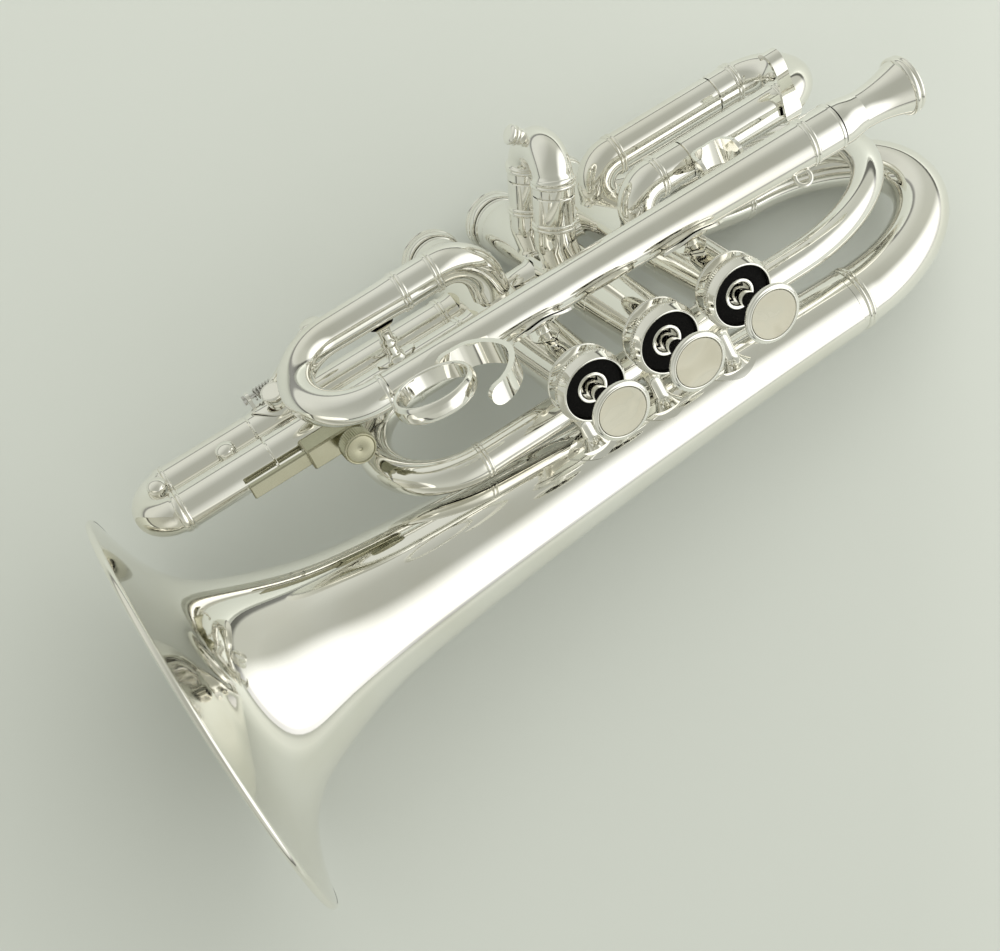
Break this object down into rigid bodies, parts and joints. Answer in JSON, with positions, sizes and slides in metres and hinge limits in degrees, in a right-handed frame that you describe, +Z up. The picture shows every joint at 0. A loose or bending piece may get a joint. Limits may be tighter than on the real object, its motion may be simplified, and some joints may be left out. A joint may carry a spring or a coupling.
{
  "type": "pocket trumpet",
  "caption": "Compact silver-plated trumpet with piston valves, tightly wrapped tubing, pull slides, a lever water key and a wide flared bell, lying on its side.",
  "frame": {"origin": "middle of the bottom of the bounding box, on the table that the instrument lies on", "axes": "+X towards the bell along the instrument, +Z up, +Y towards the player's left"},
  "size_m": [0.311, 0.1716, 0.1379],
  "materials": {
    "silver_plate": "mirror silver plate",
    "nickel_plate": "polished nickel plate",
    "nickel_silver": "brownish polished nickel silver",
    "dark_brass": "plain brass",
    "spring_steel": "bright spring wire",
    "black_felt": "black felt",
    "pearl": "mother-of-pearl inlay",
    "cork": "dark cork"
  },
  "bodies": {
    "body": {"bell": "silver_plate", "bell_bow": "silver_plate", "bell_brace_1": "silver_plate", "bell_brace_2": "silver_plate", "finger_hook": "silver_plate", "finger_ring": "silver_plate", "first_slide_far_sleeve": "silver_plate", "first_slide_near_sleeve": "silver_plate", "front_bow": "silver_plate", "front_loop": "silver_plate", "leadpipe": "silver_plate", "leadpipe_brace_1": "silver_plate", "leadpipe_brace_2": "silver_plate", "rear_bend": "silver_plate", "second_slide_far_sleeve": "silver_plate", "second_slide_near_sleeve": "silver_plate", "stop_bar_guide": "nickel_silver", "third_slide_brace": "silver_plate", "third_slide_far_sleeve": "silver_plate", "third_slide_near_sleeve": "silver_plate", "valve_1_bottom_cap": "silver_plate", "valve_1_casing": "silver_plate", "valve_1_felt": "black_felt", "valve_1_guide": "dark_brass", "valve_1_spring": "spring_steel", "valve_1_top_cap": "silver_plate", "valve_2_bottom_cap": "silver_plate", "valve_2_casing": "silver_plate", "valve_2_felt": "black_felt", "valve_2_guide": "dark_brass", "valve_2_spring": "spring_steel", "valve_2_top_cap": "silver_plate", "valve_3_bottom_cap": "silver_plate", "valve_3_casing": "silver_plate", "valve_3_felt": "black_felt", "valve_3_guide": "dark_brass", "valve_3_spring": "spring_steel", "valve_3_top_cap": "silver_plate", "water_key_pin": "spring_steel", "water_key_saddle": "silver_plate", "water_key_spring": "spring_steel"},
    "first_slide": {"first_slide": "silver_plate", "first_slide_saddle": "silver_plate", "first_slide_hook": "silver_plate"},
    "second_slide": {"second_slide": "silver_plate"},
    "third_slide": {"third_slide": "silver_plate"},
    "receiver": {"mouthpiece_receiver": "silver_plate"},
    "stop_bar": {"stop_bar": "nickel_silver"},
    "thumbscrew": {"stop_bar_thumbscrew": "nickel_silver"},
    "water_key": {"water_key_lever": "silver_plate", "water_key_cork": "cork"},
    "valve_1": {"valve_1_piston": "nickel_plate", "valve_1_button": "silver_plate", "valve_1_pearl": "pearl"},
    "valve_2": {"valve_2_piston": "nickel_plate", "valve_2_button": "silver_plate", "valve_2_pearl": "pearl"},
    "valve_3": {"valve_3_piston": "nickel_plate", "valve_3_button": "silver_plate", "valve_3_pearl": "pearl"}
  },
  "joints": [
    {"name": "valve_1_press", "type": "slide", "parent": "body", "child": "valve_1", "axis": [0.0955, -0.6246, -0.7751], "range_m": [0, 0.0138], "stiffness_N_per_m": 90, "springref_m": -0.012, "deforming": ["valve_1_spring"]},
    {"name": "valve_2_press", "type": "slide", "parent": "body", "child": "valve_2", "axis": [0.0955, -0.6246, -0.7751], "range_m": [0, 0.0138], "stiffness_N_per_m": 90, "springref_m": -0.012, "deforming": ["valve_2_spring"]},
    {"name": "valve_3_press", "type": "slide", "parent": "body", "child": "valve_3", "axis": [0.0955, -0.6246, -0.7751], "range_m": [0, 0.0138], "stiffness_N_per_m": 90, "springref_m": -0.012, "deforming": ["valve_3_spring"]},
    {"name": "first_slide_pull", "type": "slide", "parent": "body", "child": "first_slide", "axis": [-0.9925, 0, -0.1223], "range_m": [0, 0.01]},
    {"name": "second_slide_pull", "type": "slide", "parent": "body", "child": "second_slide", "axis": [-0.3959, -0.7382, 0.5461], "range_m": [0, 0.008]},
    {"name": "third_slide_pull", "type": "slide", "parent": "body", "child": "third_slide", "axis": [0.9925, 0, 0.1223], "range_m": [0, 0.005]},
    {"name": "receiver_tune", "type": "slide", "parent": "body", "child": "receiver", "axis": [-0.9953, 0.0226, -0.0942], "range_m": [0, 0.015]},
    {"name": "stop_bar_set", "type": "slide", "parent": "body", "child": "stop_bar", "axis": [0.9925, 0, 0.1223], "range_m": [-0.001, 0.003]},
    {"name": "thumbscrew_turn", "type": "hinge", "parent": "body", "child": "thumbscrew", "pos_m": [0.06438, -0.02696, 0.08097], "axis": [-0.0955, 0.6246, 0.7751], "range_deg": [0, 360]},
    {"name": "water_key_open", "type": "hinge", "parent": "body", "child": "water_key", "pos_m": [0.07912, -0.06119, 0.05543], "axis": [0.9925, 0, 0.1223], "range_deg": [0, 18], "stiffness_Nm_per_rad": 0.03, "springref_deg": -28.65, "deforming": ["water_key_spring"]}
  ]
}
